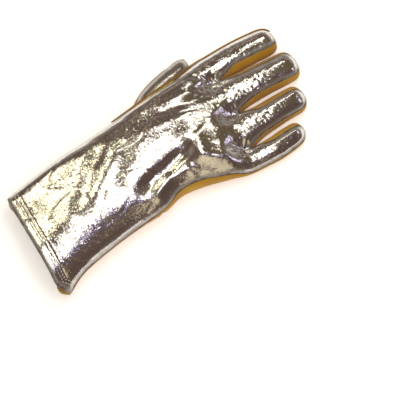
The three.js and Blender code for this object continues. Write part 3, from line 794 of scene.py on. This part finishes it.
    @staticmethod
    def _distances(places: np.ndarray, wanted: np.ndarray, targets: np.ndarray) -> np.ndarray:
        """How far each wanted vertex is from the nearest target vertex.

        Args:
            places: all vertices.
            wanted: the numbers of those to measure from.
            targets: the numbers of those to measure to.

        Returns:
            One distance for each wanted vertex, large where there is no target.
        """
        if not len(targets):
            return np.full(len(wanted), 1.0)  # a metre
        tree = KDTree(len(targets))
        for number in targets:
            tree.insert(places[number], int(number))
        tree.balance()
        return np.array([tree.find(places[number])[2] for number in wanted])

    def _remember(self, mesh: bpy.types.Mesh) -> None:
        """Keeps the outer face and its edge lines, which stitches follow."""
        bm = bmesh.new()
        bm.from_mesh(mesh)
        inner = [f for f in bm.faces if f.material_index != Wall.OUTER]
        bmesh.ops.delete(bm, geom=inner, context="FACES")
        self.skin = BVHTree.FromBMesh(bm)
        self.rims = []
        rim_edges = [e for e in bm.edges if len(e.link_faces) == 1]
        rim_edges.sort(key=lambda e: abs(e.verts[1].co.y - e.verts[0].co.y) / e.calc_length())
        open_edges = dict.fromkeys(rim_edges)  # in a fixed order, so that each run gives the same
        while open_edges:
            edge, _ = open_edges.popitem()  # it runs most along Y, where no stitched row passes
            line = [edge.verts[0], edge.verts[1]]
            for _ in range(2):
                while True:
                    ahead = [e for e in line[-1].link_edges if e in open_edges]
                    if not ahead:
                        break
                    del open_edges[ahead[0]]
                    line.append(ahead[0].other_vert(line[-1]))
                line.reverse()
            self.rims.append([v.co.copy() for v in line])
        bm.free()


# ---- Stitches ----


@dataclass(frozen=True)
class StitchRow:
    """A row of stitches beside part of a sheet's edge."""

    inset_mm: float
    along: Callable[[Vector, Vector], bool]  # whether an edge at this point, this way, has it
    pitch_mm: float = 3.6
    length_mm: float = 2.8
    thick_mm: float = 0.95


@dataclass
class Stitching:
    """The stitches of one sheet, as one piece of thread."""

    sheet: Sheet
    rows: tuple[StitchRow, ...]
    thread: bpy.types.Material

    SIDES = 8
    RINGS = 5
    LIFT_MM = 0.1  # how far a stitch stands off the sheet
    SHORTEST_RUN = 4  # points of the edge: a shorter stretch has no stitches

    def build(self) -> bpy.types.Object:
        """Makes the piece."""
        bm = bmesh.new()
        for row in self.rows:
            for line in self._edge_runs(row):
                self._sew(bm, row, line)
        mesh = bpy.data.meshes.new(f"{self.sheet.node}_stitches")
        for vert in bm.verts:  # the stitches under the glove are pressed flat
            vert.co.z = max(vert.co.z, REST_HEIGHT)
        for face in bm.faces:
            face.smooth = True
        bm.to_mesh(mesh)
        bm.free()
        mesh.materials.append(self.thread)
        piece = new_object(mesh.name, mesh)
        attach(piece, BODY)
        log.info("%s: %d faces", piece.name, len(mesh.polygons))
        return piece

    def _edge_runs(self, row: StitchRow) -> list[list[Vector]]:
        """The stretches of the sheet's edge that carry this row."""
        runs: list[list[Vector]] = []
        for rim in self.sheet.rims:
            run: list[Vector] = []
            for before, after in itertools.pairwise(rim):
                if row.along((before + after) / 2, (after - before).normalized()):
                    run = run or [before]
                    run.append(after)
                else:
                    runs.append(run)
                    run = []
            runs.append(run)
        return [run for run in runs if len(run) >= self.SHORTEST_RUN]

    def _sew(self, bm: bmesh.types.BMesh, row: StitchRow, line: list[Vector]) -> None:
        """Adds one stretch of a row.

        Args:
            bm: where the stitches go.
            row: which row.
            line: the stretch of the sheet's edge.
        """
        inset = [self._inset(line, i, row.inset_mm * MM) for i in range(len(line))]
        reach = [0.0]
        for before, after in itertools.pairwise(inset):
            reach.append(reach[-1] + (after - before).length)
        count = int(reach[-1] / (row.pitch_mm * MM))
        at = 1
        for number in range(count):
            wanted = (number + 0.5) * reach[-1] / count
            while reach[at] < wanted:
                at += 1
            share = (wanted - reach[at - 1]) / max(reach[at] - reach[at - 1], 1e-9)
            middle = inset[at - 1].lerp(inset[at], share)
            place, normal, _, _ = self.sheet.skin.find_nearest(middle)
            along = (inset[at] - inset[at - 1]).normalized()
            side = normal.cross(along).normalized()
            along = side.cross(normal).normalized()
            turn = Matrix((along, side, normal)).transposed().to_4x4()
            size = Matrix.Diagonal((row.length_mm / 2, row.thick_mm / 2, row.thick_mm / 2, 1 / MM))
            bmesh.ops.create_uvsphere(
                bm, u_segments=self.SIDES, v_segments=self.RINGS, radius=1.0,
                matrix=Matrix.Translation(place + normal * self.LIFT_MM * MM) @ turn @ (size * MM))

    def _inset(self, line: list[Vector], number: int, distance: float) -> Vector:
        """A point of the edge, moved over the outer face into the sheet."""
        before, after = line[max(number - 2, 0)], line[min(number + 2, len(line) - 1)]
        _, normal, _, _ = self.sheet.skin.find_nearest(line[number])
        across = normal.cross(after - before).normalized()
        options = []
        for sign in (1, -1):
            moved = line[number] + across * sign * distance
            place, _, _, gap = self.sheet.skin.find_nearest(moved)
            options.append(((place - line[number]).length - gap, place))
        return max(options, key=lambda option: option[0])[1]


# ---- Sub-assemblies ----


def along_cuff(place: Vector, direction: Vector) -> bool:
    """Whether this point of an edge is on the cuff."""
    return place.y < CUFF_ZONE_Y and abs(direction.y) < 0.75


def along_wrist(place: Vector, direction: Vector) -> bool:
    """Whether this point of an edge is on the wrist seam."""
    return abs(place.y - WRIST_SEAM_Y) < 1.5 * MM and abs(direction.y) < 0.5


@dataclass
class BackOfGlove:
    """The aluminized back, from the hem at the cuff to the fingertips."""

    foil: bpy.types.Material
    backing: bpy.types.Material
    thread: bpy.types.Material
    hem_rows_mm: tuple[float, float] = (9.0, 13.0)
    surface: Surface = Surface(
        layers=(
            Unevenness((38, 95, 60), 0.8, 3),
            Unevenness((16, 34, 24), 0.16, 11),
            Unevenness((9, 14, 10), 0.07, 23),
            Unevenness((26, 40, 30), 0.14, 31, creased=True),
        ),
        creases=(
            Crease((-36, 88), (-38, 62), 4.0, 0.9),  # from the crotch beside the index finger
            Crease((-36, 90), (-50, 74), 4.0, 0.7),
            Crease((-22, 104), (-21, 164), 7.0, -1.0),  # the fingers' crests
            Crease((11, 100), (12, 158), 7.0, -1.8),
            Crease((48, 94), (54, 140), 6.0, -1.6),
            Crease((10, 33), (30, 36), 14.0, -1.4),  # the crown of the hand, before the knuckles
            Crease((-31, -8), (-25, 66), 4.0, 0.55),  # long slack folds on the thumb's side
            Crease((-41, 4), (-36, 60), 4.0, -0.5),
            Crease((-20, -30), (-15, 44), 4.0, -0.35),
            Crease((44, 8), (48, -22), 9.0, 0.9),  # softens the swell beside the wrist's fold
            Crease((38, -14), (52, -30), 6.0, -0.7),  # the swell's own slack
            Crease((46, 34), (66, 52), 5.0, 0.35),  # slack of the side below the little finger
            Crease((42, 18), (62, 12), 5.0, -0.35),
            Crease((-46, 100), (-51, 130), 3.5, -0.5),  # the index finger's slack
            Crease((-39, 98), (-45, 122), 3.0, 0.5),
            Crumple((-34, 86), 15.0, 0.5, 6.0),
            Crumple((6, 90), 15.0, 0.5, 6.0),
            Crumple((46, 82), 14.0, 0.5, 6.0),
            Crumple((-46, 128), 20.0, 0.22, 4.5),
            Crumple((-18, 126), 20.0, 0.2, 4.5),
            Crumple((14, 124), 20.0, 0.2, 4.5),
            Crumple((50, 116), 18.0, 0.2, 4.5),
        ),
    )

    def build(self) -> None:
        """Makes the panel and the stitches of its hem."""
        panel = Sheet(
            "back_panel", FOIL_SLOT, self.surface, self.foil, self.backing,
            rows_mm=self.hem_rows_mm).build()
        rows = tuple(StitchRow(inset, along_cuff) for inset in self.hem_rows_mm)
        Stitching(panel, rows, self.thread).build()


@dataclass
class PalmSide:
    """The leather palm side, of the gauntlet and of the hand."""

    leather: bpy.types.Material
    flesh_side: bpy.types.Material
    thread: bpy.types.Material
    hem_rows_mm: tuple[float, float] = (9.0, 13.0)
    wrist_rows_mm: tuple[float, float] = (2.5, 5.5)
    surface: Surface = Surface(
        layers=(
            Unevenness((30, 55, 40), 0.5, 5),
            Unevenness((12, 22, 16), 0.22, 13),
            Unevenness((22, 30, 24), 0.14, 37, creased=True),
        ),
    )

    def build(self) -> None:
        """Makes both panels and their stitches."""
        gauntlet = Sheet(
            "gauntlet_palm", LEATHER_SLOT, self.surface, self.leather, self.flesh_side,
            rows_mm=self.hem_rows_mm).build()
        rows = [StitchRow(inset, along_cuff) for inset in self.hem_rows_mm]
        rows += [StitchRow(inset, along_wrist) for inset in self.wrist_rows_mm]
        Stitching(gauntlet, tuple(rows), self.thread).build()
        Sheet("palm_panel", LEATHER_SLOT, self.surface, self.leather, self.flesh_side).build()


@dataclass
class Thumb:
    """The thumb: its aluminized back and its leather front."""

    foil: bpy.types.Material
    backing: bpy.types.Material
    leather: bpy.types.Material
    flesh_side: bpy.types.Material
    foil_surface: Surface = Surface(
        layers=(
            Unevenness((14, 30, 20), 0.6, 41),
            Unevenness((7, 12, 9), 0.2, 43),
        ),
    )
    leather_surface: Surface = Surface(
        layers=(
            Unevenness((14, 20, 16), 0.4, 47),
            Unevenness((7, 9, 8), 0.15, 53),
        ),
    )

    def build(self) -> None:
        """Makes both sheets of the thumb."""
        Sheet("thumb_wing", FOIL_SLOT, self.foil_surface, self.foil, self.backing).build()
        Sheet(
            "thumb_front", LEATHER_SLOT, self.leather_surface, self.leather,
            self.flesh_side).build()


@dataclass
class FingerSides:
    """The leather strips between the fingers."""

    leather: bpy.types.Material
    flesh_side: bpy.types.Material
    nodes: tuple[str, ...] = (
        "fourchette_index_middle", "fourchette_middle_ring", "fourchette_ring_little")
    surface: Surface = Surface(
        layers=(
            Unevenness((12, 18, 12), 0.35, 59),
            Unevenness((6, 8, 6), 0.14, 61),
        ),
        seam_fade_mm=4.0, seam_roll_mm=2.0, seam_depth_mm=0.6)

    def build(self) -> None:
        """Makes each strip."""
        for node in self.nodes:
            Sheet(
                node, LEATHER_SLOT, self.surface, self.leather, self.flesh_side,
                form=Form.STRIP).build()


@dataclass
class Welts:
    """The leather piping in the seams of the index side and of the thumb."""

    leather: bpy.types.Material
    nodes: tuple[str, ...] = ("welt_index_side", "welt_thumb")
    levels: int = 2

    def build(self) -> None:
        """Makes each welt as a smooth round cord of leather."""
        for node in self.nodes:
            bm = bmesh.new()
            bm.from_mesh(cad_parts[node].data)
            bmesh.ops.remove_doubles(bm, verts=bm.verts, dist=MERGE_DISTANCE)
            bmesh.ops.join_triangles(
                bm, faces=bm.faces, angle_face_threshold=math.radians(40),
                angle_shape_threshold=math.radians(60))
            for face in bm.faces:
                face.smooth = True
            mesh = bpy.data.meshes.new(f"{node}_piping")
            bm.to_mesh(mesh)
            bm.free()
            mesh.materials.clear()
            mesh.materials.append(self.leather)
            piece = new_object(mesh.name, mesh)
            refine = piece.modifiers.new("refine", "SUBSURF")
            refine.levels = refine.render_levels = self.levels
            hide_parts(node)
            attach(piece, BODY)
            log.info("%s: %d faces before refining", piece.name, len(mesh.polygons))


# ---- Studio ----


@dataclass(frozen=True)
class Softbox:
    """A rectangular soft light."""

    name: str
    toward: tuple[float, float, float]  # from the glove to the light
    distance: float
    width: float
    length: float
    hex_code: str
    radiance: float  # 1 shows as white in a mirror
    along: tuple[float, float, float] = (0.0, 1.0, 0.0)  # the direction of its length
    mirrored: bool = True  # whether the foil shows it

    def build(self, centre: Vector) -> None:
        """Hangs the light.

        Args:
            centre: what the light points at.
        """
        light = bpy.data.lights.new(self.name, "AREA")
        light.shape = "RECTANGLE"
        light.size = self.width
        light.size_y = self.length
        light.color = linear_colour(self.hex_code)[:3]
        light.energy = math.pi * self.radiance * self.width * self.length
        lamp = bpy.data.objects.new(self.name, light)
        outward = Vector(self.toward).normalized()
        side = Vector(self.along).cross(outward).normalized()
        length_way = outward.cross(side).normalized()
        turn = Matrix((side, length_way, outward)).transposed().to_4x4()
        lamp.matrix_world = Matrix.Translation(centre + outward * self.distance) @ turn
        lamp.visible_glossy = self.mirrored
        bpy.context.scene.collection.objects.link(lamp)


@dataclass
class Studio:
    """A pale floor, soft lights over it, and the camera at the photograph's angle."""

    room_hex: str = "5c4c45"
    room_light_hex: str = "84736a"  # the lighter places of the dark walls
    beam_hex: str = "665a40"  # an olive place, which the knuckles mirror
    beam_way: tuple[float, float, float] = (-0.20, 0.62, 0.76)
    near_wall_hex: str = "a8a29b"  # the wall beyond the cuff
    horizon_hex: str = "a39c95"  # the pale foot of the walls
    dark_corner_way: tuple[float, float, float] = (0.85, 0.45, 0.30)  # where it stays dark
    floor_hex: str = "f7f6f4"
    floor_glow: float = 0.46
    floor_size: float = 8.0
    floor_drop: float = 0.3 * MM
    target: tuple[float, float, float] = (0.0729, 0.0100, 0.0196)
    camera_way: tuple[float, float, float] = (0.269, -0.152, 0.951)
    camera_distance: float = 4.844
    lens_mm: float = 400.0
    softboxes: tuple[Softbox, ...] = (
        Softbox("ceiling_softbox", (0.0, 0.175, 1.0), 1.6, 1.10, 0.37, "fffdf6", 2.8),
        Softbox(
            "far_softbox", (-0.43, 0.51, 1.0), 1.7, 0.22, 1.0, "fffdf6", 2.8, (-0.44, 0.90, 0.0)),
        Softbox("window_softbox", (-0.70, -0.07, 1.0), 1.7, 0.32, 0.32, "f6f4d4", 3.6),
        Softbox("door_softbox", (-1.43, 0.50, 1.0), 1.9, 0.10, 0.85, "fbf4df", 0.7),
        Softbox("side_softbox", (1.25, -0.13, 1.0), 1.7, 1.2, 0.6, "f1e8c6", 0.75),
        Softbox("far_wall_light", (0.35, 1.50, 1.0), 1.9, 0.7, 0.3, "d6d2f4", 2.2),
        Softbox("cool_edge_light", (0.40, 0.22, 1.0), 1.6, 0.08, 0.6, "7a74d8", 1.3),
        Softbox("fill_softbox", (0.1, 0.0, 1.0), 2.2, 2.6, 2.6, "ffffff", 1.25, mirrored=False),
    )

    def build(self) -> None:
        """Sets up the floor, the lights, the room and the camera."""
        self._floor()
        for softbox in self.softboxes:
            softbox.build(Vector(self.target))
        self._room()
        bpy.context.scene.view_settings.view_transform = "Standard"
        self._camera()

    def _room(self) -> None:
        """Surrounds the studio with dim brown walls that grow pale towards the floor."""
        world = bpy.data.worlds.new("studio_room")
        world.use_nodes = True
        tree = world.node_tree
        direction = add_node(tree, "ShaderNodeTexCoord", {}).outputs["Generated"]
        parts = add_node(tree, "ShaderNodeSeparateXYZ", {0: direction}).outputs
        places = add_node(
            tree, "ShaderNodeTexNoise", {"Vector": direction, "Scale": 3.2, "Detail": 2.0})
        toward_beam, toward_corner = (
            add_node(
                tree, "ShaderNodeVectorMath", {0: direction, 1: Vector(way).normalized()},
                operation="DOT_PRODUCT").outputs["Value"]
            for way in (self.beam_way, self.dark_corner_way))
        coats = (  # each colour, and its ramps: what is read, start, end, kind
            (self.room_light_hex, ((places.outputs["Fac"], 0.42, 0.72, "LINEAR"),)),
            (self.beam_hex, ((toward_beam, 0.87, 1.0, "SMOOTHSTEP"),)),
            (self.near_wall_hex, (
                (parts["Y"], -0.25, -0.55, "SMOOTHSTEP"), (parts["Z"], 0.8, 0.5, "LINEAR"))),
            (self.horizon_hex, (
                (toward_corner, 0.93, 0.6, "SMOOTHSTEP"), (parts["Z"], 0.45, 0.15, "LINEAR"))),
        )
        colour = self.room_hex
        for hex_code, ramps in coats:
            share = 1.0
            for value, start, end, kind in ramps:
                share = add_node(
                    tree, "ShaderNodeMapRange",
                    {"Value": value, "From Min": start, "From Max": end, "To Max": share},
                    interpolation_type=kind).outputs[0]
            colour = add_node(
                tree, "ShaderNodeMix", {0: share, 6: colour, 7: hex_code},
                data_type="RGBA").outputs[2]
        tree.links.new(colour, tree.nodes["Background"].inputs["Color"])
        bpy.context.scene.world = world

    def _floor(self) -> None:
        """Lays the pale floor, which glows a little, as a light table does."""
        bm = bmesh.new()
        bmesh.ops.create_grid(
            bm, x_segments=1, y_segments=1, size=self.floor_size / 2,
            matrix=Matrix.Translation((0, 0, -self.floor_drop)))
        mesh = bpy.data.meshes.new("studio_floor")
        bm.to_mesh(mesh)
        bm.free()
        material, tree, _, shader = blank_material("light_table")
        set_inputs(tree, shader, {
            "Base Color": self.floor_hex, "Roughness": 0.8, "Emission Color": self.floor_hex,
            "Emission Strength": self.floor_glow})
        mesh.materials.append(material)
        new_object("studio_floor", mesh)

    def _camera(self) -> None:
        """Points the camera as the photograph was taken."""
        data = bpy.data.cameras.new("photo_camera")
        data.lens = self.lens_mm
        data.clip_start = 0.05
        data.dof.use_dof = False
        camera = bpy.data.objects.new("photo_camera", data)
        away = Vector(self.camera_way).normalized()
        camera.matrix_world = (
            Matrix.Translation(Vector(self.target) + away * self.camera_distance)
            @ away.to_track_quat("Z", "Y").to_matrix().to_4x4())
        bpy.context.scene.collection.objects.link(camera)
        bpy.context.scene.camera = camera


def main() -> None:
    """Builds the glove and the studio round it."""
    logging.basicConfig(level=logging.INFO, format="%(message)s")
    foil = AluminizedFoil().material()
    dulled_foil = AluminizedFoil(
        "dulled_aluminized_aramid", "cdc7be", "a39b92", roughness=(0.2, 0.34)).material()
    leather = SplitLeather().material()
    piping = SplitLeather("dark_cowhide_piping", "946719", "aa7d26", "6b4713").material()
    backing = WovenBacking().material()
    flesh_side = FleshSide().material()
    pale_thread = SewingThread("pale_aramid_thread", "f4f1e6", "c9c2ad").material()
    golden_thread = SewingThread("golden_aramid_thread", "e0bd63", "a67c2c").material()
    BackOfGlove(foil, backing, pale_thread).build()
    PalmSide(leather, flesh_side, golden_thread).build()
    Thumb(dulled_foil, backing, leather, flesh_side).build()
    FingerSides(leather, flesh_side).build()
    Welts(piping).build()
    Studio().build()


if __name__ == "__main__":
    main()
